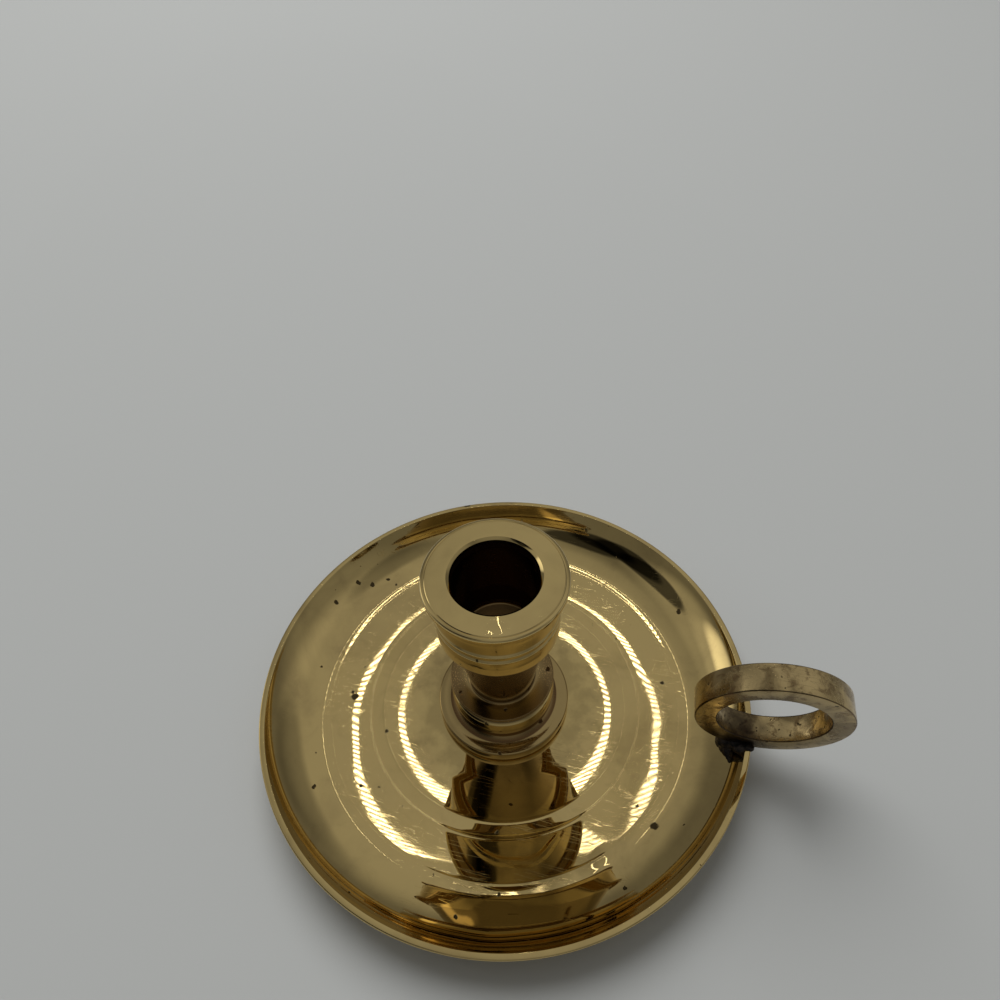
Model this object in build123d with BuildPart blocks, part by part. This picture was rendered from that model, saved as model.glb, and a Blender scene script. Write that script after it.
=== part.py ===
from build123d import *
import math
import os

# Brass chamberstick: a saucer pan, a turned candle column screwed to it from
# below, and a finger ring brazed upright on the lip.
# Millimetres. The origin is on the candle axis, on the surface the pan stands on.
# +Z is up and the finger ring stands on +X.

os.makedirs("parts", exist_ok=True)

# Pan
pan_radius = 70.0
pan_height = 12.5
pan_wall = 1.8
floor_thickness = 2.0
floor_rise = 1.0
lip_width = 1.6
lip_round = 0.6
cove_width = 13.9
cove_sag = 1.9
heel_width = 7.5
ring_line_shares = (0.587, 0.78)
ring_line_width = 1.8
ring_line_height = 0.22
boss_radius = 12.0
boss_height = 3.0
boss_slope = 2.0

# Candle column
column_height = 60.6
bore_radius = 11.0
bore_depth = 28.0
bore_chamfer = 0.6
drill_point = 1.2
flange_radius = 18.1
flange_thickness = 2.0
flange_round = 0.6
top_fall = 0.3
cup_height = 20.9
cup_radius = 16.4
cup_taper = 0.5
cup_round = 1.6
groove_drops = (10.6, 13.2)
groove_radius = 0.6
neck_top_radius = 13.8
neck_base_radius = 9.0
neck_sag = 0.4
neck_fillet = 0.9
collar_radius = 14.6
collar_height = 13.4
collar_edge = 0.8
collar_dish = 0.5
scotia_height = 3.0
scotia_sag = 1.1
band_radius = 14.4
band_swell = 0.3
quirk_radius = 13.3
quirk_height = 0.4
foot_radius = 19.0
foot_edge = 3.9
foot_round = 0.9
foot_rise = 1.3
foot_sag = 0.5
foot_gap = 0.1
foot_recess_clearance = 0.4

# Fixing under the pan
spigot_radius = 4.5
spigot_gap = 0.3
spigot_clearance = 0.1
screw_radius = 2.5
screw_length = 12.0
thread_clearance = 0.05
tap_spare = 1.5
head_radius = 4.6
head_height = 1.9
head_round = 0.4
slot_width = 1.0
slot_depth = 0.9
washer_radius = 7.0
washer_thickness = 0.8
washer_clearance = 0.2

# Finger ring
ring_inner_radius = 13.7
ring_wall = 5.5
ring_width = 7.2
ring_edge_break = 0.35
ring_overhang = 1.4
ring_twist = 5.5
ring_lean = 5.0
notch_depth = 1.5
notch_clearance = 0.1

# Braze
wedge_climb_angle = 36.0
wedge_rise = 1.5
wedge_root = 3.4
wedge_drop = 4.4
wedge_cover = 0.9
wedge_draft_angle = 8.0
wedge_hollow = 0.6
drip_inset = 1.6
drip_drop = 3.4
drip_side = 6.1
drip_base = 2.3
drip_point = 0.4
bead_radius = 2.6

# Heights and radii that several pieces share
boss_top = floor_thickness + boss_height
boss_underside = boss_top - pan_wall
boss_foot = boss_radius + boss_slope
recess_radius = boss_radius - pan_wall / 2
pan_hole_radius = spigot_radius + spigot_clearance
crease_height = floor_thickness + floor_rise
lip_inner_radius = pan_radius - lip_width
floor_radius = lip_inner_radius - cove_width
standing_radius = floor_radius - heel_width
head_bottom = boss_underside - washer_thickness - head_height
ring_radius = ring_inner_radius + ring_wall
ring_reach = pan_radius + ring_overhang
ring_height = pan_height - notch_depth + ring_radius


# Pan: one turned section, its wall the same thickness all along the cove
cove_rise = pan_height - crease_height
cove_half_chord = math.hypot(cove_width, cove_rise) / 2
cove_arc_radius = (cove_half_chord**2 + cove_sag**2) / (2 * cove_sag)
cove_half_turn = math.asin(cove_half_chord / cove_arc_radius)
cove_slope = math.atan2(cove_rise, cove_width)
low_slope = cove_slope - cove_half_turn
high_slope = cove_slope + cove_half_turn
under_low = (
    floor_radius + pan_wall * math.sin(low_slope),
    crease_height - pan_wall * math.cos(low_slope),
)
under_high = (
    lip_inner_radius + pan_wall * math.sin(high_slope),
    pan_height - pan_wall * math.cos(high_slope),
)
under_sag = cove_sag * (cove_arc_radius + pan_wall) / cove_arc_radius


def floor_point(radius, lift=0.0):
    """A point of the floor's face, which rises all the way from the boss to the crease."""
    share = (radius - boss_foot) / (floor_radius - boss_foot)
    return (radius, floor_thickness + floor_rise * share + lift)


with BuildPart() as pan:
    with BuildSketch(Plane.XZ):
        with BuildLine():
            Polyline(
                (pan_hole_radius, boss_underside),
                (pan_hole_radius, boss_top),
                (boss_radius, boss_top),
                (boss_foot, floor_thickness),
            )
            last = (boss_foot, floor_thickness)
            for share in ring_line_shares:
                line_radius = share * floor_radius
                near = floor_point(line_radius - ring_line_width / 2)
                far = floor_point(line_radius + ring_line_width / 2)
                Line(last, near)
                ThreePointArc(near, floor_point(line_radius, ring_line_height), far)
                last = far
            crease = floor_point(floor_radius)
            Line(last, crease)
            SagittaArc(crease, (lip_inner_radius, pan_height), -cove_sag)
            Polyline((lip_inner_radius, pan_height), (pan_radius, pan_height), under_high)
            SagittaArc(under_high, under_low, under_sag)
            Polyline(
                under_low,
                (standing_radius, 0),
                (recess_radius + boss_slope, 0),
                (recess_radius, boss_underside),
                (pan_hole_radius, boss_underside),
            )
        make_face()
    revolve(axis=Axis.Z)
    lip_edge = pan.edges().filter_by(GeomType.CIRCLE).sort_by(lambda edge: edge.radius)[-1]
    fillet(lip_edge, lip_round)

pan.part.label = "pan"
export_step(pan.part, "parts/pan.step")


# Candle column: turned in one piece from the foot to the flange, bored for the candle
spigot_end = boss_underside + spigot_gap
tapped_top = head_bottom + head_height + screw_length + tap_spare
foot_bottom = floor_point(foot_radius, foot_gap)[1]
foot_shoulder = foot_bottom + foot_edge
foot_recess_radius = boss_foot + foot_recess_clearance
foot_top = foot_shoulder + foot_rise
band_bottom = foot_top + quirk_height
collar_top = boss_top + collar_height
column_top = boss_top + column_height
cup_bottom = column_top - cup_height
flange_bottom = column_top - top_fall - flange_thickness
cup_low_radius = cup_radius - cup_taper
collar_bottom = collar_top - collar_edge
scotia_bottom = collar_bottom - scotia_height


def rims(turning, radius, height):
    """The edges of a turned piece at one radius and height."""
    circles = turning.edges().filter_by(GeomType.CIRCLE)
    level = circles.filter_by(lambda edge: math.isclose(edge.arc_center.Z, height, rel_tol=1e-4))
    return level.filter_by(lambda edge: math.isclose(edge.radius, radius, rel_tol=1e-4))


with BuildPart() as candle_column:
    with BuildSketch(Plane.XZ):
        with BuildLine():
            Polyline(
                (0, spigot_end),
                (spigot_radius, spigot_end),
                (spigot_radius, boss_top),
                (foot_recess_radius, boss_top),
                (foot_recess_radius, foot_bottom),
                (foot_radius, foot_bottom),
                (foot_radius, foot_shoulder),
            )
            SagittaArc((foot_radius, foot_shoulder), (quirk_radius, foot_top), foot_sag)
            Polyline(
                (quirk_radius, foot_top),
                (quirk_radius, band_bottom),
                (band_radius, band_bottom),
            )
            SagittaArc((band_radius, band_bottom), (band_radius, scotia_bottom), -band_swell)
            SagittaArc((band_radius, scotia_bottom), (band_radius, collar_bottom), scotia_sag)
            Polyline(
                (band_radius, collar_bottom),
                (collar_radius, collar_bottom),
                (collar_radius, collar_top),
                (neck_base_radius, collar_top - collar_dish),
            )
            neck_foot = (neck_base_radius, collar_top - collar_dish)
            neck_head = (neck_top_radius, cup_bottom)
            SagittaArc(neck_foot, neck_head, neck_sag)
            Polyline(
                neck_head,
                (cup_low_radius, cup_bottom),
                (cup_radius, flange_bottom),
                (flange_radius, flange_bottom),
                (flange_radius, flange_bottom + flange_thickness),
                (bore_radius, column_top),
                (bore_radius, column_top - bore_depth),
                (0, column_top - bore_depth - drill_point),
                (0, spigot_end),
            )
        make_face()
    revolve(axis=Axis.Z)
    fillet(rims(candle_column, cup_low_radius, cup_bottom), cup_round)
    fillet(rims(candle_column, flange_radius, flange_bottom + flange_thickness), flange_round)
    fillet(rims(candle_column, flange_radius, flange_bottom), flange_round)
    fillet(rims(candle_column, foot_radius, foot_shoulder), foot_round)
    fillet(rims(candle_column, foot_radius, foot_bottom), foot_round)
    fillet(rims(candle_column, neck_base_radius, collar_top - collar_dish), neck_fillet)
    chamfer(rims(candle_column, bore_radius, column_top), bore_chamfer)
    with BuildSketch(Plane.XZ):
        for drop in groove_drops:
            groove_height = column_top - drop
            share = (groove_height - cup_bottom) / (flange_bottom - cup_bottom)
            with Locations((cup_low_radius + cup_taper * share, groove_height)):
                Circle(groove_radius)
    revolve(axis=Axis.Z, mode=Mode.SUBTRACT)
    with BuildSketch(Plane.XY.offset(tapped_top)):
        Circle(screw_radius + thread_clearance)
    extrude(amount=spigot_end - tapped_top, mode=Mode.SUBTRACT)

candle_column.part.label = "candle_column"
export_step(candle_column.part, "parts/candle_column.step")


# Washer: spreads the screw's pull in the hollow under the pan
with BuildPart() as washer:
    with Locations((0, 0, boss_underside - washer_thickness)):
        Cylinder(
            washer_radius,
            washer_thickness,
            align=(Align.CENTER, Align.CENTER, Align.MIN),
        )
    Hole(screw_radius + washer_clearance)

washer.part.label = "washer"
export_step(washer.part, "parts/washer.step")


# Fixing screw: slotted head below, shank up through the pan into the column
with BuildPart() as fixing_screw:
    with BuildSketch(Plane.XY.offset(head_bottom)):
        Circle(head_radius)
    extrude(amount=head_height)
    fillet(fixing_screw.edges().filter_by(GeomType.CIRCLE).sort_by(Axis.Z)[0], head_round)
    with BuildSketch(Plane.XY.offset(head_bottom + head_height)):
        Circle(screw_radius)
    extrude(amount=screw_length)
    chamfer(fixing_screw.edges().filter_by(GeomType.CIRCLE).sort_by(Axis.Z)[-1], screw_radius / 5)
    with BuildSketch(Plane.XY.offset(head_bottom)):
        Rectangle(3 * head_radius, slot_width)
    extrude(amount=slot_depth, mode=Mode.SUBTRACT)

fixing_screw.part.label = "fixing_screw"
export_step(fixing_screw.part, "parts/fixing_screw.step")


# Finger ring: a slice of heavy tube, notched below to sit astride the lip.
# Its plane is turned a little from the radial one and its top leans.
twist = math.radians(ring_twist)
lean = math.radians(ring_lean)
ring_plane = Plane(
    origin=(ring_reach, 0, ring_height),
    x_dir=(math.cos(twist), math.sin(twist), 0),
    z_dir=(
        math.sin(twist) * math.cos(lean),
        -math.cos(twist) * math.cos(lean),
        -math.sin(lean),
    ),
)

with BuildPart() as finger_ring:
    with BuildSketch(ring_plane):
        Circle(ring_radius)
        Circle(ring_inner_radius, mode=Mode.SUBTRACT)
    extrude(amount=ring_width / 2, both=True)
    chamfer(finger_ring.edges().filter_by(GeomType.CIRCLE), ring_edge_break)
    with BuildSketch(Plane.XZ):
        with BuildLine():
            crease = (floor_radius - notch_clearance, crease_height)
            seat = (lip_inner_radius - notch_clearance, pan_height)
            SagittaArc(crease, seat, -cove_sag)
            Polyline(
                seat,
                (pan_radius + notch_clearance, pan_height),
                (pan_radius + notch_clearance, crease_height),
                crease,
            )
        make_face()
    revolve(axis=Axis.Z, mode=Mode.SUBTRACT)

finger_ring.part.label = "finger_ring"
export_step(finger_ring.part, "parts/finger_ring.step")


# Braze: a burnt wedge between the ring and the cove, with a drip that ran down
# the wall and a bead left on the lip behind the ring
wedge_climb = math.radians(wedge_climb_angle)
wedge_half_width = ring_width / 2 + wedge_cover
wedge_tip = (
    ring_reach - ring_radius * math.sin(wedge_climb),
    ring_height - ring_radius * math.cos(wedge_climb) + wedge_hollow,
)
wedge_foot = (lip_inner_radius - wedge_root, pan_height - wedge_drop)
drip_start = Vector(lip_inner_radius - drip_inset, -drip_base / 2, pan_height - drip_inset)
drip_end = drip_start + Vector(-drip_inset, drip_base / 2 - drip_side, -drip_drop)
bead_centre = (pan_radius - lip_width / 2, wedge_half_width, pan_height)

with BuildPart() as braze_lump:
    with BuildSketch(Plane.XZ):
        with BuildLine():
            SagittaArc(wedge_tip, wedge_foot, wedge_hollow)
            Polyline(
                wedge_foot,
                (pan_radius - lip_round, pan_height),
                (pan_radius - lip_round, pan_height + wedge_rise),
                wedge_tip,
            )
        make_face()
    extrude(amount=wedge_half_width, both=True, taper=wedge_draft_angle)
    with Locations(Plane(origin=drip_start, z_dir=drip_end - drip_start)):
        Cone(
            drip_base,
            drip_point,
            (drip_end - drip_start).length,
            align=(Align.CENTER, Align.CENTER, Align.MIN),
        )
    with Locations(bead_centre):
        Sphere(bead_radius)
    with BuildSketch(ring_plane):
        Circle(ring_radius)
    extrude(amount=ring_width / 2, both=True, mode=Mode.SUBTRACT)
    with BuildSketch(Plane.XZ):
        with BuildLine():
            SagittaArc((floor_radius, crease_height), (lip_inner_radius, pan_height), -cove_sag)
            Polyline(
                (lip_inner_radius, pan_height),
                (pan_radius, pan_height),
                (pan_radius, 0),
                (floor_radius, 0),
                (floor_radius, crease_height),
            )
        make_face()
    revolve(axis=Axis.Z, mode=Mode.SUBTRACT)

braze_lump.part.label = "braze_lump"
export_step(braze_lump.part, "parts/braze_lump.step")
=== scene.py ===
import math

import bmesh
import bpy
from mathutils import Matrix, Vector


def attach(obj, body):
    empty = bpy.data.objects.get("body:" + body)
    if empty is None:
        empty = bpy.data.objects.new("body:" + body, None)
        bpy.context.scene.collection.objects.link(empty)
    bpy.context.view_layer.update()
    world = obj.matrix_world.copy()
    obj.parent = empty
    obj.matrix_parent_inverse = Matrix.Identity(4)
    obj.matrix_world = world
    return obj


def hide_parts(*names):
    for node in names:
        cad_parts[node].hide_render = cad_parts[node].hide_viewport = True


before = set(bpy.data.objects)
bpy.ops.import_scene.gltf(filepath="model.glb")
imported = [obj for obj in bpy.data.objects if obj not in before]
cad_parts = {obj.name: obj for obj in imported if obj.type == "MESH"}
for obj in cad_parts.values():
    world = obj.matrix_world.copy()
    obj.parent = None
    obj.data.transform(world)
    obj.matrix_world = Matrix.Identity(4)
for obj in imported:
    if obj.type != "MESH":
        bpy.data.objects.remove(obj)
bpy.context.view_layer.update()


# The pan: a round saucer of brass with a plain lip, turned bright, with three
# faint raised lines on its floor. Years of polish have left it soft, with
# specks, pits, stains and hairline scratches.
MM = 0.001
PAN_RADIUS = 69.96
PAN_HEIGHT = 12.5
PAN_WALL = 1.8
PAN_STEPS = 320
LIP_WIDTH = 1.6
CREASE = (54.5, 3.0)
COVE_SAG = 1.9
COVE_STEPS = 28
UNDER_COVE_STEPS = 20
STANDING_RADIUS = 47.0
STANDING_HEIGHT = 0.02
HOLLOW_FOOT_RADIUS = 13.1
HOLLOW_RADIUS = 11.1
HOLLOW_TOP = 3.2
SPIGOT_HOLE_RADIUS = 4.6
BOSS_TOP = 5.0
BOSS_RADIUS = 12.0
FLOOR_START = (14.0, 2.0)
# Places (radius, height) of the floor's face, from the boss out to the crease.
FLOOR_LINE = ((19.0, 2.14), (22.0, 2.06), (25.5, 2.02), (38.5, 2.18), CREASE)
FLOOR_STEP = 0.4
FLOOR_END_GAP = 0.3
SOFT_REACH = 1.6
SOFT_SIDE = 6
# Turned lines (radius, half width, height), drawn with shorter steps.
TURNED_LINES = ((35.9, 0.7, 0.04), (40.2, 0.7, 0.03), (51.3, 0.5, 0.03))
LINE_STEP = 0.14
LINE_MARGIN = 0.2
MERGE_DISTANCE = 0.004
SMOOTH_ANGLE = 35


def bow(start, end, sag, steps):
    """Points of a shallow arc from start to end that bulges to the left of the way by sag."""
    (xa, ya), (xb, yb) = start, end
    chord = math.hypot(xb - xa, yb - ya)
    radius = (chord * chord / 4 + sag * sag) / (2 * abs(sag))
    side = math.copysign(1, sag)
    inward = radius - abs(sag)
    cx = (xa + xb) / 2 + (yb - ya) / chord * side * inward
    cy = (ya + yb) / 2 - (xb - xa) / chord * side * inward
    first = math.atan2(ya - cy, xa - cx)
    turn = -2 * math.asin(chord / 2 / radius) * side
    angles = [first + turn * i / steps for i in range(steps + 1)]
    return [(cx + radius * math.cos(a), cy + radius * math.sin(a)) for a in angles]


def rounded(corners, steps):
    """A line through (x, y, rounding) corners, each corner rounded off by its own radius."""
    points = [corners[0][:2]]
    for before, (x, y, rounding), after in zip(corners, corners[1:], corners[2:]):
        if rounding == 0:
            points.append((x, y))
            continue
        corner = Vector((x, y))
        back = Vector((before[0] - x, before[1] - y))
        on = Vector((after[0] - x, after[1] - y))
        half = back.angle(on) / 2
        longest = [0.49 * side.length for side in (back, on)]
        reach = min(rounding / math.tan(half), *longest)
        middle = (back.normalized() + on.normalized()).normalized()
        centre = corner + middle * reach / math.cos(half)
        start = corner + back.normalized() * reach - centre
        sweep = -start.angle_signed(corner + on.normalized() * reach - centre)
        for i in range(steps + 1):
            points.append(tuple(centre + Matrix.Rotation(sweep * i / steps, 2) @ start))
    return points + [corners[-1][:2]]


def turned(name, profile, steps):
    """A turned piece: one vertex drawn out along the profile (radius, height in mm), then spun."""
    bpy.ops.object.select_all(action="DESELECT")
    x, z = profile[0]
    bpy.ops.mesh.primitive_plane_add(size=MM, location=(x * MM, 0, z * MM))
    piece = bpy.context.object
    piece.name = name
    bpy.ops.object.transform_apply(location=True)
    bpy.ops.object.mode_set(mode="EDIT")
    bpy.ops.mesh.merge(type="CENTER")
    for next_x, next_z in profile[1:]:
        step = ((next_x - x) * MM, 0, (next_z - z) * MM)
        bpy.ops.mesh.extrude_region_move(TRANSFORM_OT_translate={"value": step})
        x, z = next_x, next_z
    bpy.ops.mesh.select_all(action="SELECT")
    bpy.ops.mesh.spin(steps=steps, angle=2 * math.pi, center=(0, 0, 0), axis=(0, 0, 1))
    bpy.ops.mesh.select_all(action="SELECT")
    bpy.ops.mesh.remove_doubles(threshold=MERGE_DISTANCE * MM)
    bpy.ops.mesh.normals_make_consistent(inside=False)
    bpy.ops.object.mode_set(mode="OBJECT")
    bpy.ops.object.shade_smooth_by_angle(angle=math.radians(SMOOTH_ANGLE))
    return piece


def under_wall(point, slope):
    """The place under the cove that lies one wall thickness away from a point on it."""
    return (point[0] + PAN_WALL * math.sin(slope), point[1] - PAN_WALL * math.cos(slope))


def slope_between(start, end):
    return math.atan2(end[1] - start[1], end[0] - start[0])


def floor_height(x):
    """The floor's height at a radius: straight pieces between the places of FLOOR_LINE."""
    after = next(i for i, (reach, _) in enumerate(FLOOR_LINE) if reach >= x or reach == CREASE[0])
    (xa, za), (xb, zb) = FLOOR_LINE[max(after - 1, 0)], FLOOR_LINE[max(after, 1)]
    return za + (zb - za) * (x - xa) / (xb - xa)


def softened(x):
    """The floor's height with its corners averaged away and the turned lines added."""
    offsets = [SOFT_REACH * (i / SOFT_SIDE - 1) for i in range(2 * SOFT_SIDE + 1)]
    z = sum(floor_height(min(x + d, CREASE[0])) for d in offsets) / len(offsets)
    for line_radius, half_width, swell in TURNED_LINES:
        across = abs(x - line_radius) / half_width
        if across < 1:
            z += swell * (0.5 + 0.5 * math.cos(math.pi * across))
    return z


floor_face = []
place = FLOOR_LINE[0][0]
while place < CREASE[0] - FLOOR_END_GAP:
    floor_face.append((place, softened(place)))
    by_a_line = any(abs(place - line) < half + LINE_MARGIN for line, half, _ in TURNED_LINES)
    place += LINE_STEP if by_a_line else FLOOR_STEP
lip_start = (PAN_RADIUS - LIP_WIDTH, PAN_HEIGHT)
cove = bow(CREASE, lip_start, -COVE_SAG, COVE_STEPS)
under_high = under_wall(lip_start, slope_between(cove[-2], cove[-1]))
under_low = under_wall(CREASE, slope_between(cove[0], cove[1]))
under_cove = bow(under_high, under_low, COVE_SAG, UNDER_COVE_STEPS)
lip = rounded(
    [
        (*cove[-2], 0),
        (*lip_start, 0.3),
        (PAN_RADIUS, PAN_HEIGHT, 0.6),
        (*under_high, 0.3),
        (*under_cove[1], 0),
    ],
    steps=5,
)
underside = rounded(
    [
        (*under_low, 0),
        (STANDING_RADIUS, STANDING_HEIGHT, 0.6),
        (HOLLOW_FOOT_RADIUS, STANDING_HEIGHT, 0.4),
        (HOLLOW_RADIUS, HOLLOW_TOP, 0.4),
        (SPIGOT_HOLE_RADIUS, HOLLOW_TOP, 0),
        (SPIGOT_HOLE_RADIUS, BOSS_TOP, 0.1),
        (BOSS_RADIUS, BOSS_TOP, 0.3),
        (*FLOOR_START, 0.4),
        (*floor_face[0], 0),
    ],
    steps=3,
)
pan_line = floor_face + cove[:-2] + lip + under_cove[2:-1] + underside
pan = turned("turned_pan", pan_line, PAN_STEPS)

# Soft dents (x, y, z, reach, way), way being (x, y, z), all in mm.
PAN_DENTS = (
    (-44.0, 4.0, 2.4, 14.0, (0, 0, 0.008)),
    (-36.0, -24.0, 2.3, 11.0, (0, 0, -0.006)),
    (42.0, 20.0, 2.4, 12.0, (0, 0, 0.008)),
    (44.0, -6.0, 2.5, 9.0, (0, 0, -0.006)),
    (34.0, -30.0, 2.3, 10.0, (0, 0, 0.01)),
    (10.0, -38.0, 2.2, 9.0, (0, 0, -0.01)),
    (22.0, -45.0, 2.4, 8.0, (0, 0, 0.03)),
    (-30.0, 36.0, 2.4, 10.0, (0, 0, -0.006)),
    (38.0, -38.0, 2.8, 5.0, (0, 0, 0.04)),
    (46.0, -33.0, 3.6, 6.0, (0, 0, -0.08)),
    (-57.0, -22.0, 4.4, 9.0, (0, 0, -0.1)),
    (12.0, -60.0, 4.6, 8.0, (0, 0, 0.12)),
    (-20.0, 58.0, 4.6, 9.0, (0, 0, -0.12)),
)


def push(piece, dents):
    """Presses soft dents in a piece, each round the vertex that is nearest to its place."""
    bpy.ops.object.select_all(action="DESELECT")
    piece.select_set(True)
    bpy.context.view_layer.objects.active = piece
    bpy.ops.object.mode_set(mode="EDIT")
    bpy.ops.mesh.select_mode(type="VERT")
    for x, y, z, reach, way in dents:
        bpy.ops.mesh.select_all(action="DESELECT")
        shape = bmesh.from_edit_mesh(piece.data)
        centre = Vector((x, y, z)) * MM
        nearest = min(shape.verts, key=lambda v: (v.co - centre).length_squared)
        nearest.select_set(True)
        bmesh.update_edit_mesh(piece.data)
        bpy.ops.transform.translate(
            value=[v * MM for v in way],
            use_proportional_edit=True,
            proportional_edit_falloff="SMOOTH",
            proportional_size=reach * MM,
        )
    bpy.ops.object.mode_set(mode="OBJECT")


push(pan, PAN_DENTS)
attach(pan, "root")
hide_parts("pan")

POLISHED = (0.69, 0.52, 0.22, 1)
TARNISHED = (0.40, 0.29, 0.13, 1)
STAINED = (0.11, 0.075, 0.035, 1)
SOOT_AND_SHADE = (0.10, 0.045, 0.018, 1)
GRIME = (0.035, 0.024, 0.014, 1)
POLISH_ROUGHNESS = 0.009
DULL_STAIN = 0.3
DULL_STAIN_ROUGHNESS = 0.22
BUMP_HEIGHT = 0.000012
PIT_GRAIN = 1100.0
STAIN_GRAIN = 170.0
# How softly the soot and painted shade fade out, up and down and away from the axis.
SOOT_SHADE_FADE_UP = 0.4
SOOT_SHADE_FADE_OUT = 0.15
# Pits (x, y, radius, softness) and stains (x, y, radius, softness, depth). Both
# go by x and y alone, so they run through to the underside.
PAN_PITS = (
    (-44.0, -10.1, 1.2, 0.3),
    (-45.2, -8.8, 0.5, 0.3),
    (47.9, -26.3, 1.1, 0.3),
    (-32.1, -34.9, 0.55, 0.3),
    (45.1, 16.1, 0.6, 0.3),
    (-61.0, 17.9, 0.7, 0.3),
)
PAN_STAINS = (
    (0.0, 0.0, 29.0, 0.35, 0.3),
    (21.0, -45.0, 11.0, 0.8, 0.46),
    (9.0, -45.0, 10.0, 0.8, 0.42),
    (32.0, -38.0, 7.0, 0.8, 0.34),
)
# Knots (radius, slope) of the floor's waves. They are in the bump only, not in
# the mesh, and are fitted to where the lamps are mirrored.
FLOOR_WAVES = (
    (24.5, 0.0),
    (27.6, 0.0590),
    (34.8, 0.0866),
    (36.6, 0.0),
    (38.5, 0.0),
    (41.3, 0.057),
    (50.9, 0.0925),
    (51.5, 0.081),
    (52.0, 0.085),
    (55.4, 0.101),
    (58.0, 0.0),
)


def put(tree, kind, feeds=(), **settings):
    """Adds a node. feeds are (input, value or output socket) pairs and settings its properties."""
    node = tree.nodes.new(kind)
    for key, value in settings.items():
        setattr(node, key, value)
    for name, value in feeds:
        if isinstance(value, bpy.types.NodeSocket):
            tree.links.new(value, node.inputs[name])
        else:
            node.inputs[name].default_value = value
    return node


def reckon(tree, operation, *values):
    """A Math node's result."""
    return put(tree, "ShaderNodeMath", list(enumerate(values)), operation=operation).outputs[0]


def added_up(tree, start, shares):
    """A start with (mask, share) pairs added to it, each mask times its share."""
    for mask, share in shares:
        start = reckon(tree, "MULTIPLY_ADD", mask, share, start)
    return start


def spread(tree, value, low, high, to_low=0.0, to_high=1.0):
    """A value carried from one range to another with soft ends."""
    ends = [("From Min", low), ("From Max", high), ("To Min", to_low), ("To Max", to_high)]
    feeds = [("Value", value), *ends]
    node = put(tree, "ShaderNodeMapRange", feeds, interpolation_type="SMOOTHSTEP")
    return node.outputs["Result"]


def blend_colour(tree, factor, first, second):
    """A Mix node's colour. Its colour inputs are sockets 6 and 7 and its colour output is 2."""
    feeds = [(0, factor), (6, first), (7, second)]
    return put(tree, "ShaderNodeMix", feeds, data_type="RGBA").outputs[2]


def on_piece(tree):
    """The place on the piece, in Object coordinates."""
    return put(tree, "ShaderNodeTexCoord").outputs["Object"]


def reckon_vector(tree, operation, *values):
    """A Vector Math node's results."""
    return put(tree, "ShaderNodeVectorMath", list(enumerate(values)), operation=operation).outputs


def noise(tree, where, scale, detail, *feeds):
    """A noise over the piece."""
    given = [("Vector", where), ("Scale", scale), ("Detail", detail), *feeds]
    return put(tree, "ShaderNodeTexNoise", given).outputs


def noise_along(tree, where, detail, *feeds):
    """A noise that changes along one measure only."""
    given = [("W", where), ("Scale", 1.0), ("Detail", detail), *feeds]
    return put(tree, "ShaderNodeTexNoise", given, noise_dimensions="1D").outputs["Fac"]


def effect(name, inputs, outputs):
    """An empty node group with named number inputs and outputs."""
    tree = bpy.data.node_groups.new(name, "ShaderNodeTree")
    kind = "NodeSocketFloat"
    for label, value in inputs:
        socket = tree.interface.new_socket(label, in_out="INPUT", socket_type=kind)
        socket.default_value = value
    for label in outputs:
        tree.interface.new_socket(label, in_out="OUTPUT", socket_type=kind)
    return tree, tree.nodes.new("NodeGroupInput").outputs, tree.nodes.new("NodeGroupOutput")


def lathe_lines():
    """Fine lines that a turning tool and the polishing mop leave round an axis."""
    inputs = [("Pitch", 900.0), ("Patchiness", 0.6)]
    tree, given, out = effect("lathe_lines", inputs, ["Lines", "Bands"])
    climb = 1.37
    band_pitch = 190.0
    here = on_piece(tree)
    parts = put(tree, "ShaderNodeSeparateXYZ", [("Vector", here)]).outputs
    squared = [reckon(tree, "MULTIPLY", parts[axis], parts[axis]) for axis in ("X", "Y")]
    away = reckon(tree, "SQRT", reckon(tree, "ADD", *squared))
    along = reckon(tree, "ADD", away, reckon(tree, "MULTIPLY", parts["Z"], climb))
    fine_place = reckon(tree, "MULTIPLY", along, given["Pitch"])
    fine = noise_along(tree, fine_place, 4.0, ("Roughness", 0.75))
    wide = noise_along(tree, reckon(tree, "MULTIPLY", along, band_pitch), 2.0)
    patch = spread(tree, noise(tree, here, 55.0, 3.0)["Fac"], 0.4, 0.62)
    keep = reckon(tree, "SUBTRACT", 1.0, reckon(tree, "MULTIPLY", given["Patchiness"], patch))
    tree.links.new(reckon(tree, "MULTIPLY", fine, keep), out.inputs["Lines"])
    tree.links.new(wide, out.inputs["Bands"])
    return tree


def specks():
    """Small dark pits and flecks of tarnish, sparse and of uneven size."""
    tree, given, out = effect("specks", [("Density", 260.0), ("Size", 0.22)], ["Mask"])
    stir = 0.0012
    rareness = 6.0
    here = on_piece(tree)
    stirring = noise(tree, here, 900.0, 2.0)["Color"]
    bent = reckon_vector(tree, "MULTIPLY", stirring, (stir, stir, stir))
    moved = reckon_vector(tree, "ADD", here, bent[0])
    feeds = [("Vector", moved[0]), ("Scale", given["Density"]), ("Randomness", 1.0)]
    cells = put(tree, "ShaderNodeTexVoronoi", feeds).outputs
    chance = put(tree, "ShaderNodeSeparateColor", [("Color", cells["Color"])]).outputs
    reach = reckon(tree, "MULTIPLY", given["Size"], reckon(tree, "POWER", chance[0], rareness))
    inside = reckon(tree, "SUBTRACT", reach, cells["Distance"])
    tree.links.new(spread(tree, inside, 0.0, 0.03), out.inputs["Mask"])
    return tree


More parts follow.
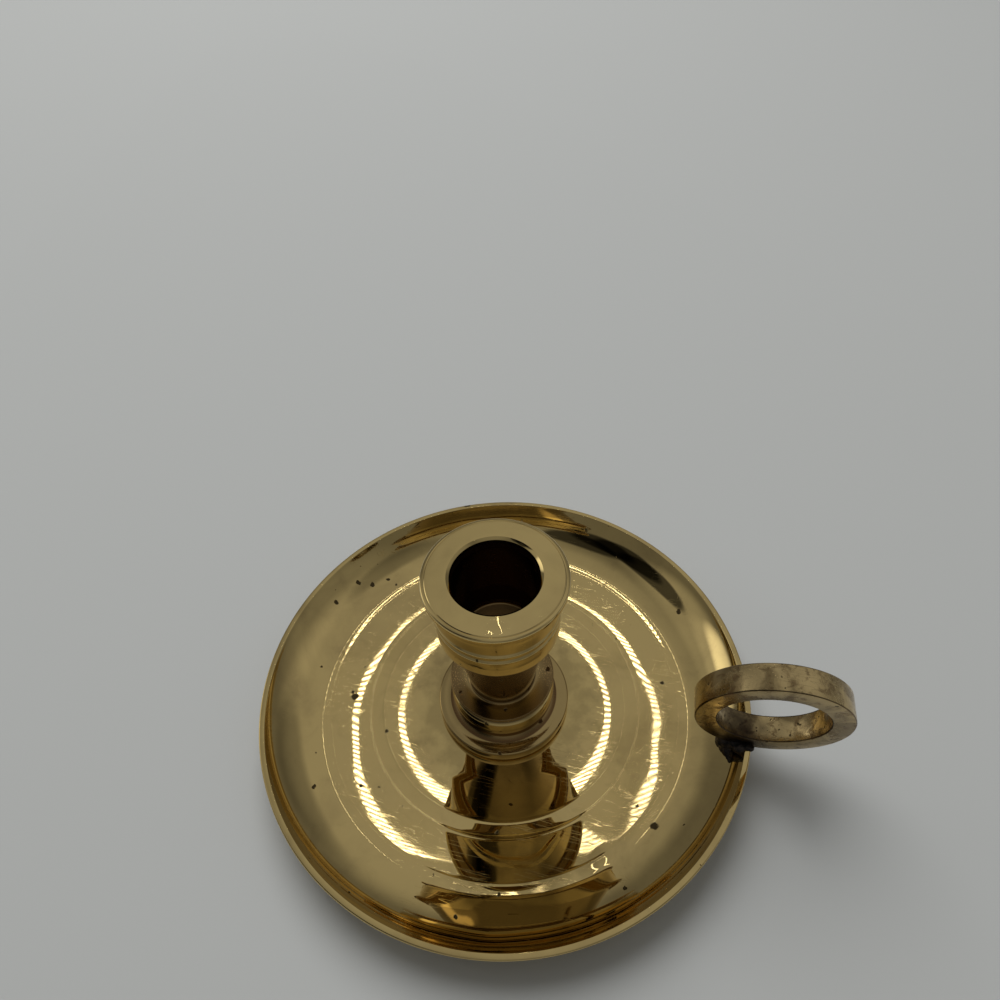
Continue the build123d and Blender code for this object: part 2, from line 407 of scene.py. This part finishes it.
def hairlines():
    """Hairline scratches in three directions, each a stretched noise cut to a thin line."""
    tree, given, out = effect("hairlines", [("Fineness", 1.0)], ["Mask"])
    tilt = (0.25, 0.1)
    thin = 0.012
    here = on_piece(tree)
    total = None
    for turn, length, width in ((0.5, 26.0, 620.0), (1.9, 34.0, 520.0), (2.7, 20.0, 700.0)):
        feeds = [("Vector", here), ("Rotation", (*tilt, turn)), ("Scale", (length, width, width))]
        laid = put(tree, "ShaderNodeMapping", feeds).outputs["Vector"]
        grain = noise(tree, laid, given["Fineness"], 1.0)["Fac"]
        ridge = reckon(tree, "ABSOLUTE", reckon(tree, "SUBTRACT", grain, 0.5))
        line = spread(tree, ridge, 0.0, thin, 1.0, 0.0)
        patch = noise(tree, here, 60.0 + 30.0 * turn, 2.0)["Fac"]
        line = reckon(tree, "MULTIPLY", line, spread(tree, patch, 0.52, 0.66))
        total = line if total is None else reckon(tree, "MAXIMUM", total, line)
    tree.links.new(total, out.inputs["Mask"])
    return tree


def clouds():
    """Soft blotches of tarnish that the polishing cloth missed."""
    inputs = [("Scale", 45.0), ("Low", 0.45), ("High", 0.7)]
    tree, given, out = effect("clouds", inputs, ["Mask"])
    shape = [("Roughness", 0.6), ("Distortion", 0.6)]
    blotch = noise(tree, on_piece(tree), given["Scale"], 6.0, *shape)["Fac"]
    tree.links.new(spread(tree, blotch, given["Low"], given["High"]), out.inputs["Mask"])
    return tree


LATHE, SPECKS, HAIRLINES, CLOUDS = lathe_lines(), specks(), hairlines(), clouds()


def grouped(tree, group, **values):
    """Places one of the effects in a material with its own values."""
    node = tree.nodes.new("ShaderNodeGroup")
    node.node_tree = group
    for key, value in values.items():
        node.inputs[key].default_value = value
    return node.outputs


def new_metal(name, metallic=1.0):
    """A new material, its node tree and its shader."""
    material = bpy.data.materials.new(name)
    material.use_nodes = True
    shader = material.node_tree.nodes["Principled BSDF"]
    shader.inputs["Metallic"].default_value = metallic
    return material, material.node_tree, shader


def bumped(tree, shader, height, distance, strength=1.0):
    """Feeds a height to the shader as a bump."""
    feeds = [("Height", height), ("Distance", distance), ("Strength", strength)]
    tree.links.new(put(tree, "ShaderNodeBump", feeds).outputs["Normal"], shader.inputs["Normal"])


def from_axis(tree):
    """The distance from the candle's axis."""
    flat = reckon_vector(tree, "MULTIPLY", on_piece(tree), (1.0, 1.0, 0.0))
    return reckon_vector(tree, "LENGTH", flat[0])["Value"]


def spot(tree, x, y, radius, soft, grain):
    """A mark at one place of the pan, all through its height, with a ragged edge."""
    rag, edge = 1.1, 1.55
    here = on_piece(tree)
    flat = reckon_vector(tree, "MULTIPLY", here, (1.0, 1.0, 0.0))
    away = reckon_vector(tree, "DISTANCE", flat[0], (x * MM, y * MM, 0.0))["Value"]
    ragged = noise(tree, here, grain, 5.0)["Fac"]
    ragged = reckon(tree, "MULTIPLY_ADD", ragged, rag * radius * MM, away)
    return spread(tree, ragged, (edge - soft) * radius * MM, edge * radius * MM, 1.0, 0.0)


def inside_radius(tree, radius, low, high):
    """A mask of what lies nearer to the axis than radius, between two heights."""
    parts = put(tree, "ShaderNodeSeparateXYZ", [("Vector", on_piece(tree))]).outputs
    away = from_axis(tree)
    out, up = SOOT_SHADE_FADE_OUT, SOOT_SHADE_FADE_UP
    near = spread(tree, away, (radius - out) * MM, (radius + out) * MM, 1.0, 0.0)
    above = spread(tree, parts["Z"], (low - up) * MM, (low + up) * MM)
    below = spread(tree, parts["Z"], (high - up) * MM, (high + up) * MM, 1.0, 0.0)
    return reckon(tree, "MULTIPLY", near, reckon(tree, "MULTIPLY", above, below))


def dished(tree, knots):
    """A height whose slope runs straight between knots of (radius in mm, slope)."""
    away = from_axis(tree)
    bends = [
        (after[1] - before[1]) / (after[0] - before[0]) / MM
        for before, after in zip(knots, knots[1:])
    ]
    height = 0.0
    for (radius, _), before, after in zip(knots, [0.0] + bends, bends + [0.0]):
        beyond = reckon(tree, "MAXIMUM", reckon(tree, "SUBTRACT", away, radius * MM), 0.0)
        squared = reckon(tree, "MULTIPLY", beyond, beyond)
        height = reckon(tree, "MULTIPLY_ADD", squared, (after - before) / 2, height)
    return height


def brass(name, lathe_pitch, tarnish, pits=(), soot_and_shade=(), stains=(), waves=()):
    """Old polished brass. Soot and painted shade are (radius, low, high, depth), the rest as on
    the pan.
    """
    material, tree, shader = new_metal(name)
    lines = grouped(tree, LATHE, Pitch=lathe_pitch)
    flecks = grouped(tree, SPECKS, Density=230.0, Size=0.2)["Mask"]
    big_flecks = grouped(tree, SPECKS, Density=70.0, Size=0.12)["Mask"]
    scratch = grouped(tree, HAIRLINES)["Mask"]
    dull = grouped(tree, CLOUDS, Scale=38.0, Low=0.42, High=0.74)["Mask"]
    bloom = grouped(tree, CLOUDS, Scale=140.0, Low=0.5, High=0.8)["Mask"]
    dark = reckon(tree, "MAXIMUM", flecks, big_flecks)
    for x, y, radius, soft in pits:
        dark = reckon(tree, "MAXIMUM", dark, spot(tree, x, y, radius, soft, PIT_GRAIN))
    stained = 0.0
    for x, y, radius, soft, depth in stains:
        stain = reckon(tree, "MULTIPLY", spot(tree, x, y, radius, soft, STAIN_GRAIN), depth)
        stained = reckon(tree, "MAXIMUM", stained, stain)
    soot_and_shade_mask = 0.0
    for radius, low, high, depth in soot_and_shade:
        soot_and_shade_mask = reckon(tree, "MULTIPLY_ADD", inside_radius(tree, radius, low, high), depth, soot_and_shade_mask)
    clouded = reckon(tree, "ADD", dull, reckon(tree, "MULTIPLY", bloom, 0.5))
    film = reckon(tree, "MULTIPLY", clouded, tarnish)

    colour = blend_colour(tree, film, POLISHED, TARNISHED)
    if stains:
        colour = blend_colour(tree, stained, colour, STAINED)
    colour = blend_colour(tree, reckon(tree, "MULTIPLY", dark, 0.9), colour, GRIME)
    # Candle soot in the bore and painted shade in the column's hollows darken the colour here.
    if soot_and_shade:
        colour = blend_colour(tree, soot_and_shade_mask, colour, SOOT_AND_SHADE)
    tree.links.new(colour, shader.inputs["Base Color"])

    shares = ((lines["Lines"], 0.004), (soot_and_shade_mask, 0.25), (film, 0.012), (dark, 0.45), (scratch, 0.08))
    rough = added_up(tree, POLISH_ROUGHNESS, shares)
    if stains:
        dulled = reckon(tree, "MAXIMUM", reckon(tree, "SUBTRACT", stained, DULL_STAIN), 0.0)
        rough = reckon(tree, "MULTIPLY_ADD", dulled, DULL_STAIN_ROUGHNESS, rough)
    tree.links.new(rough, shader.inputs["Roughness"])

    shares = ((lines["Lines"], 0.008), (lines["Bands"], 0.05), (dark, -6.0), (scratch, -0.2))
    height = added_up(tree, 0.0, shares)
    if waves:
        height = reckon(tree, "MULTIPLY_ADD", dished(tree, waves), 1 / BUMP_HEIGHT, height)
    bumped(tree, shader, height, BUMP_HEIGHT)
    return material


pan_finish = brass("pan_brass", 1500.0, 0.5, pits=PAN_PITS, stains=PAN_STAINS, waves=FLOOR_WAVES)
pan.data.materials.append(pan_finish)


# The candle column: foot, band, neck and cup turned from one bar of brass,
# bored from above for the candle and from below for the fixing screw.
TAPPED_RADIUS = 2.55
TAPPED_TOP = 15.9
SPIGOT_RADIUS = 4.5
SPIGOT_END = 3.5
FOOT_HOLLOW_RADIUS = 14.4
FOOT_RADIUS = 19.0
FOOT_BOTTOM = 2.22
BORE_RADIUS = 11.0
BORE_BOTTOM = 37.6
DRILL_POINT = 36.4
COLUMN_STEPS = 256
# Corners are (radius, height, rounding) in mm, from the screw's hole outwards
# under the foot, up the outside and down the bore.
column_line = rounded(
    [
        (0, TAPPED_TOP, 0),
        (TAPPED_RADIUS, TAPPED_TOP, 0),
        (TAPPED_RADIUS, SPIGOT_END, 0),
        (SPIGOT_RADIUS, SPIGOT_END, 0.2),
        (SPIGOT_RADIUS, BOSS_TOP, 0),
        (FOOT_HOLLOW_RADIUS, BOSS_TOP, 0.3),
        (FOOT_HOLLOW_RADIUS, FOOT_BOTTOM, 0.3),
        (FOOT_RADIUS, FOOT_BOTTOM, 1.2),
        (FOOT_RADIUS, 6.12, 1.2),
        (18.0, 6.2, 0),
    ],
    steps=6,
)
foot_top = bow((17.6, 6.3), (13.3, 7.42), 0.35, 8)
quirk = rounded([(13.3, 7.5, 0), (13.3, 7.82, 0), (14.4, 7.82, 0.3), (14.5, 9.0, 0)], steps=4)
band = bow((14.55, 9.6), (14.55, 13.2), -0.16, 6)
band_top = rounded([(14.5, 13.8, 0), (14.4, 14.6, 0.35), (13.8, 14.9, 0)], steps=4)
scotia = bow((13.7, 15.0), (13.7, 17.3), 0.5, 8)
collar = rounded(
    [
        (13.9, 17.5, 0),
        (14.6, 17.6, 0.25),
        (14.6, 18.4, 0.35),
        (11.0, 18.05, 0),
        (9.0, 17.95, 0.9),
        (9.45, 20.5, 0),
    ],
    steps=5,
)
neck = bow((9.6, 21.3), (13.3, 42.0), 0.3, 12)
column_line += foot_top + quirk[1:] + band + band_top[1:] + scotia + collar[1:] + neck
column_line += rounded(
    [
        (13.6, 43.6, 0),
        (13.9, 44.7, 0.5),
        (15.9, 44.7, 1.6),
        (16.07, 51.6, 0.3),
        (15.5, 52.1, 0.25),
        (15.5, 52.6, 0.25),
        (16.1, 53.0, 0.3),
        (16.13, 54.3, 0.3),
        (15.55, 54.75, 0.25),
        (15.55, 55.2, 0.25),
        (16.18, 55.7, 0.3),
        (16.4, 62.3, 0.4),
        (17.3, 63.3, 0.5),
        (18.1, 63.5, 0.5),
        (18.1, 64.95, 0.8),
        (17.2, 65.2, 0.1),
        (17.0, 65.08, 0.08),
        (16.8, 65.24, 0.1),
        (16.0, 65.29, 0),
        (15.2, 65.33, 0),
        (14.4, 65.38, 0),
        (13.6, 65.43, 0),
        (12.7, 65.49, 0),
        (11.7, 65.55, 0.12),
        (BORE_RADIUS, 64.9, 0.12),
        (BORE_RADIUS, BORE_BOTTOM, 0.8),
        (0, DRILL_POINT, 0),
    ],
    steps=5,
)
COLUMN_DENTS = (
    (-14.2, 3.6, 65.4, 2.6, (0, 0, -0.05)),
    (-13.2, 1.0, 65.4, 1.6, (0, 0, -0.03)),
    (-3.2, -14.4, 65.4, 2.4, (0, 0, -0.05)),
    (9.0, -10.6, 65.4, 2.6, (0, 0, -0.05)),
    (11.0, -9.0, 65.4, 1.5, (0, 0, -0.03)),
    (4.0, -15.6, 64.8, 2.0, (0, 0.06, -0.03)),
    (-2.0, -16.0, 48.0, 6.0, (0, 0.08, 0)),
    (6.0, -15.0, 47.0, 4.0, (0, 0.05, 0)),
    (-16.0, -10.0, 6.1, 4.0, (0, 0, -0.05)),
    (15.0, -11.0, 6.1, 4.0, (0, 0, -0.05)),
)
# Soot and painted shade (radius, low, high, depth): candle soot in the bore and at the bore's end,
# then painted shade where the foot, scotia, quirk, neck's foot, neck, flange's underside and cup's
# underside lie in shade.
COLUMN_SOOT_AND_SHADE = (
    (11.3, 39.0, 64.6, 0.88),
    (11.3, 36.0, 38.0, 0.35),
    (19.4, 5.6, 6.9, 0.42),
    (14.1, 14.9, 17.4, 0.8),
    (15.6, 5.9, 7.9, 0.5),
    (14.8, 17.9, 20.5, 0.75),
    (13.0, 20.5, 44.0, 0.4),
    (18.6, 62.0, 63.6, 0.8),
    (16.2, 44.0, 45.6, 0.7),
)
column = turned("turned_column", column_line, COLUMN_STEPS)
push(column, COLUMN_DENTS)
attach(column, "root")
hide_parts("candle_column")
column.data.materials.append(brass("column_brass", 2200.0, 0.35, soot_and_shade=COLUMN_SOOT_AND_SHADE))


# The finger ring: a slice sawn off heavy brass tube, its edges just broken. It
# stands on the lip, a little twisted and leaning, and brazing left it dull.
RING_PLACE = (71.4, 0.0, 30.2)
RING_TWIST = math.radians(5.5)
RING_LEAN = math.radians(5.0)
RING_OUTSIDE = 19.2
RING_INSIDE = 13.7
RING_HALF_WIDTH = 3.6
RING_SEAM = 16.0
RING_STEPS = 160
SHADED_EDGE_FROM = 3.3
SHADED_EDGE_OUTSIDE = 18.9
SHADED_EDGE_INSIDE = 13.95
ring_line = rounded(
    [
        (RING_SEAM, -RING_HALF_WIDTH, 0),
        (RING_OUTSIDE, -RING_HALF_WIDTH, 0.4),
        (RING_OUTSIDE, RING_HALF_WIDTH, 0.4),
        (RING_INSIDE, RING_HALF_WIDTH, 0.35),
        (RING_INSIDE, -RING_HALF_WIDTH, 0.35),
        (RING_SEAM, -RING_HALF_WIDTH, 0),
    ],
    steps=4,
)
ring = turned("finger_loop", ring_line, RING_STEPS)
# Faces on the ring's broken edges take the second material, a painted shade line along the edges.
for face in ring.data.polygons:
    middle = Vector(face.center) / MM
    across = math.hypot(middle.x, middle.y)
    at_rim = across > SHADED_EDGE_OUTSIDE or across < SHADED_EDGE_INSIDE
    face.material_index = 1 if abs(middle.z) > SHADED_EDGE_FROM and at_rim else 0
ring.matrix_world = (
    Matrix.Translation([v * MM for v in RING_PLACE])
    @ Matrix.Rotation(RING_TWIST, 4, "Z")
    @ Matrix.Rotation(math.pi / 2 + RING_LEAN, 4, "X")
)
bpy.ops.object.transform_apply(location=True, rotation=True, scale=True)
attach(ring, "root")
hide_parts("finger_ring")

FLAME_PLACE = (64.0, -1.5, 11.5)
BURNT_NEAR = 5.0
BURNT_FAR = 14.0
RING_DULL = (0.29, 0.21, 0.10, 1)
RING_RUBBED = (0.58, 0.435, 0.21, 1)
SHADED_EDGE_DULL = (0.06, 0.04, 0.02, 1)
SHADED_EDGE_RUBBED = (0.16, 0.11, 0.055, 1)
BROWNED = (0.15, 0.085, 0.04, 1)
BURNT = (0.035, 0.024, 0.018, 1)
RING_ROUGHNESS = 0.28
RING_BUMP_HEIGHT = 0.00005


def near_place(tree, place, inner, outer):
    """A mask that fades out between two distances from a place, with a ragged edge."""
    rag = 0.4
    shift = 0.2 * outer * MM
    here = on_piece(tree)
    away = reckon_vector(tree, "DISTANCE", here, [v * MM for v in place])["Value"]
    ragged = noise(tree, here, 320.0, 3.0)["Fac"]
    ragged = reckon(tree, "MULTIPLY_ADD", ragged, rag * outer * MM, away)
    return spread(tree, ragged, inner * MM + shift, outer * MM + shift, 1.0, 0.0)


def dulled_brass(name, dull, rubbed):
    """Brass browned by the torch: dull film, pits, and bright rubbed patches."""
    material, tree, shader = new_metal(name)
    rub = grouped(tree, CLOUDS, Scale=110.0, Low=0.40, High=0.58)["Mask"]
    blot = grouped(tree, CLOUDS, Scale=330.0, Low=0.52, High=0.64)["Mask"]
    pits = grouped(tree, SPECKS, Density=1100.0, Size=0.36)["Mask"]
    big_pits = grouped(tree, SPECKS, Density=420.0, Size=0.2)["Mask"]
    pits = reckon(tree, "MAXIMUM", pits, big_pits)
    scratch = grouped(tree, HAIRLINES, Fineness=1.4)["Mask"]
    burnt = near_place(tree, FLAME_PLACE, BURNT_NEAR, BURNT_FAR)
    colour = blend_colour(tree, rub, dull, rubbed)
    for mask, share, over in ((blot, 0.55, BROWNED), (pits, 0.7, GRIME), (burnt, 0.93, BURNT)):
        colour = blend_colour(tree, reckon(tree, "MULTIPLY", mask, share), colour, over)
    tree.links.new(colour, shader.inputs["Base Color"])
    shares = ((rub, -0.12), (blot, 0.12), (pits, 0.2), (burnt, 0.15))
    tree.links.new(added_up(tree, RING_ROUGHNESS, shares), shader.inputs["Roughness"])
    height = added_up(tree, 0.0, ((blot, -0.5), (pits, -1.0), (scratch, -0.3)))
    bumped(tree, shader, height, RING_BUMP_HEIGHT)
    return material


ring.data.materials.append(dulled_brass("ring_brass", RING_DULL, RING_RUBBED))
# The edges' material is dark as painted shade along the ring's broken edges.
ring.data.materials.append(dulled_brass("ring_edge_painted_shade", SHADED_EDGE_DULL, SHADED_EDGE_RUBBED))


# The braze: a burnt lump of spelter between the ring and the cove, run down to
# a point on the near side and left in beads on the lip behind the ring.
# Blobs are a centre and three radii in mm.
LUMP_BLOBS = (
    ((65.4, -0.6, 11.2), (3.4, 3.4, 2.4)),
    ((62.5, -0.6, 8.2), (1.5, 2.2, 2.4)),
    ((62.8, -2.0, 11.0), (1.9, 1.9, 2.6)),
    ((63.7, -2.9, 9.2), (1.8, 1.8, 2.5)),
    ((64.4, -4.1, 9.2), (1.4, 1.5, 1.7)),
    ((64.8, -5.3, 8.9), (0.9, 1.1, 0.9)),
    ((64.9, -6.1, 8.6), (0.45, 0.75, 0.45)),
    ((66.9, -3.3, 11.6), (1.9, 1.8, 1.6)),
    ((69.2, -3.0, 12.4), (1.6, 1.3, 0.9)),
    ((67.5, 2.6, 12.0), (2.4, 2.4, 1.9)),
    ((69.3, 4.9, 12.9), (1.7, 1.5, 1.4)),
    ((71.0, 4.6, 13.4), (1.0, 0.9, 0.9)),
    ((65.0, 4.4, 11.3), (1.2, 1.2, 1.2)),
)
MELT_SIZE = 0.16
PUCKER_SIZE = 1.0
PUCKER_HEIGHT = 0.5
SOOT_DARK = (0.05, 0.038, 0.03, 1)
SOOT_BLACK = (0.012, 0.011, 0.012, 1)
COPPER_GLINT = (0.24, 0.13, 0.06, 1)
for index, (centre, radii) in enumerate(LUMP_BLOBS):
    bpy.ops.object.select_all(action="DESELECT")
    blob_place = [v * MM for v in centre]
    bpy.ops.mesh.primitive_ico_sphere_add(subdivisions=4, radius=MM, location=blob_place)
    blob = bpy.context.object
    blob.scale = radii
    bpy.ops.object.transform_apply(location=True, rotation=True, scale=True)
    if index == 0:
        lump = blob
        continue
    lump.select_set(True)
    bpy.context.view_layer.objects.active = lump
    bpy.ops.object.join()
lump.name = "burnt_braze"
melt = lump.modifiers.new("melt", "REMESH")
melt.mode = "VOXEL"
melt.voxel_size = MELT_SIZE * MM
bpy.ops.object.modifier_apply(modifier="melt")
soften = lump.modifiers.new("soften", "SMOOTH")
soften.factor = 0.5
soften.iterations = 4
bpy.ops.object.modifier_apply(modifier="soften")
boil = bpy.data.textures.new("boil", "CLOUDS")
boil.noise_scale = PUCKER_SIZE * MM
boil.noise_depth = 3
pucker = lump.modifiers.new("pucker", "DISPLACE")
pucker.texture = boil
pucker.strength = PUCKER_HEIGHT * MM
pucker.mid_level = 0.55
bpy.ops.object.modifier_apply(modifier="pucker")
bpy.ops.object.shade_smooth()
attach(lump, "root")
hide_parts("braze_lump")
material, tree, shader = new_metal("burnt_braze", metallic=0.55)
soot = grouped(tree, CLOUDS, Scale=420.0, Low=0.4, High=0.62)["Mask"]
glint = grouped(tree, CLOUDS, Scale=900.0, Low=0.6, High=0.7)["Mask"]
colour = blend_colour(tree, soot, SOOT_DARK, SOOT_BLACK)
colour = blend_colour(tree, reckon(tree, "MULTIPLY", glint, 0.6), colour, COPPER_GLINT)
tree.links.new(colour, shader.inputs["Base Color"])
tree.links.new(spread(tree, soot, 0.0, 1.0, 0.32, 0.62), shader.inputs["Roughness"])
bumped(tree, shader, soot, distance=0.00012, strength=0.8)
lump.data.materials.append(material)


# The fixing screw and its washer: plain turned brass, up through the pan from
# below into the column. They keep the solids' own shapes.
fixing = brass("fixing_brass", 3000.0, 0.9)
for name in ("fixing_screw", "washer"):
    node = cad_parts[name]
    node.data.materials.clear()
    node.data.materials.append(fixing)


# The studio: a pale table, a room with lighter and darker parts that the brass
# mirrors, a plain backdrop for the camera, one row of small lamps overhead, a
# wide soft lamp that only lights, and the camera.
TABLE_SIZE = 6.0
TABLE_COLOUR = (0.50, 0.51, 0.50, 1)
bpy.ops.object.select_all(action="DESELECT")
bpy.ops.mesh.primitive_plane_add(size=TABLE_SIZE, location=(0, 0, 0))
table = bpy.context.object
table.name = "table_top"
material = bpy.data.materials.new("pale_table")
material.use_nodes = True
shader = material.node_tree.nodes["Principled BSDF"]
shader.inputs["Base Color"].default_value = TABLE_COLOUR
shader.inputs["Roughness"].default_value = 0.55
shader.inputs["Specular IOR Level"].default_value = 0.3
table.data.materials.append(material)

# Parts of the room: its way, how near a ray comes to that way at the part's
# edge and middle, and the room's level there. The first ones are added up, and
# the level is then multiplied by the darker ones.
ROOM_LIGHTER = (
    ((0.15, 0.48, 0.86), 0.55, 0.97, 0.15, 0.37),
    ((-0.82, -0.05, 0.57), 0.84, 0.97, 0.0, 0.2),
    ((0.85, 0.2, 0.5), 0.80, 0.97, 0.0, 0.08),
    ((0.17, -0.52, 0.84), 0.84, 0.98, 0.0, 0.08),
    ((-0.95, 0.12, 0.26), 0.955, 0.985, 0.0, 0.8),
    ((-0.88, 0.12, 0.46), 0.95, 0.99, 0.0, 0.12),
)
ROOM_DARKER = (
    ((0.40, 0.82, 0.42), 0.92, 0.985, 1.0, 0.6),
    ((0.50, -0.12, 0.86), 0.95, 0.99, 1.0, 0.6),
    ((-0.29, -0.47, 0.83), 0.970, 0.984, 1.0, 0.18),
    ((-0.43, -0.55, 0.71), 0.970, 0.984, 1.0, 0.18),
    ((-0.57, -0.48, 0.67), 0.970, 0.984, 1.0, 0.18),
    ((-0.67, -0.33, 0.67), 0.970, 0.984, 1.0, 0.18),
)
BACKDROP = 0.42
BLUE_SHARE = 0.97
world = bpy.data.worlds.new("room")
bpy.context.scene.world = world
world.use_nodes = True
tree = world.node_tree
way = put(tree, "ShaderNodeTexCoord").outputs["Generated"]


def toward_way(direction, outer, inner, low, high):
    """A level that turns from low to high as the way nears a direction."""
    nearness = reckon_vector(tree, "DOT_PRODUCT", way, direction)["Value"]
    return spread(tree, nearness, outer, inner, low, high)


level = 0.0
for part in ROOM_LIGHTER:
    level = reckon(tree, "ADD", level, toward_way(*part))
for part in ROOM_DARKER:
    level = reckon(tree, "MULTIPLY", level, toward_way(*part))
seen = put(tree, "ShaderNodeLightPath").outputs["Is Camera Ray"]
level = reckon(tree, "MULTIPLY_ADD", seen, reckon(tree, "SUBTRACT", BACKDROP, level), level)
blue = reckon(tree, "MULTIPLY", level, BLUE_SHARE)
tint = put(tree, "ShaderNodeCombineColor", [(0, level), (1, level), (2, blue)])
tree.links.new(tint.outputs[0], tree.nodes["Background"].inputs["Color"])

ROW_WAY = Vector((-0.317, 0.948, 0))
ROW_AWAY = 0.785
ROW_HEIGHT = 1.6
ROW_LENGTH = 0.21
ROW_WIDTH = 0.006
ROW_WATTS = 0.0105
DIODE_PITCH = 0.004
DIODE_SLANT = 0.8
DIODE_LEVEL = 3.0
FILL_PLACE = Vector((-0.6, 0.95, 1.7))
FILL_SIZE = 1.8
FILL_WATTS = 29.5


def lamp(name, shape, place, width, length, watts):
    """An area lamp that shines straight down."""
    data = bpy.data.lights.new(name, "AREA")
    data.shape = shape
    data.size, data.size_y = width, length
    data.energy = watts
    lamp_object = bpy.data.objects.new(name, data)
    bpy.context.collection.objects.link(lamp_object)
    lamp_object.location = place
    return lamp_object


row_place = ROW_WAY * ROW_AWAY + Vector((0, 0, ROW_HEIGHT))
row = lamp("lamp_row", "RECTANGLE", row_place, ROW_WIDTH, ROW_LENGTH, ROW_WATTS)
row.rotation_euler = (0, 0, math.atan2(-ROW_WAY.x, ROW_WAY.y))
row.data.use_nodes = True
tree = row.data.node_tree
on_lamp = put(tree, "ShaderNodeNewGeometry").outputs["Parametric"]
on_row = put(tree, "ShaderNodeSeparateXYZ", [("Vector", on_lamp)]).outputs
slant = reckon(tree, "MULTIPLY", on_row["X"], DIODE_SLANT * math.pi)
turn = reckon(tree, "MULTIPLY_ADD", on_row["Y"], 2 * math.pi * ROW_LENGTH / DIODE_PITCH, slant)
diodes = spread(tree, reckon(tree, "SINE", turn), 0.1, 0.5, 0.0, DIODE_LEVEL)
tree.links.new(diodes, tree.nodes["Emission"].inputs["Strength"])

fill = lamp("fill", "ELLIPSE", FILL_PLACE, FILL_SIZE, FILL_SIZE, FILL_WATTS)
fill.rotation_euler = (-FILL_PLACE).to_track_quat("-Z", "Y").to_euler()
fill.visible_glossy = False

CAMERA_LENS = 27.036
CAMERA_PLACE = (0.03339, -0.09978, 0.21025)
CAMERA_ANGLES = (41.6055, 2.2409, 14.7159)
camera_data = bpy.data.cameras.new("camera")
camera_data.lens = CAMERA_LENS
camera_data.sensor_width = 36.0
camera_data.clip_start = 0.01
camera = bpy.data.objects.new("camera", camera_data)
bpy.context.collection.objects.link(camera)
camera.location = CAMERA_PLACE
camera.rotation_euler = [math.radians(angle) for angle in CAMERA_ANGLES]
bpy.context.scene.camera = camera
bpy.context.scene.view_settings.view_transform = "Standard"
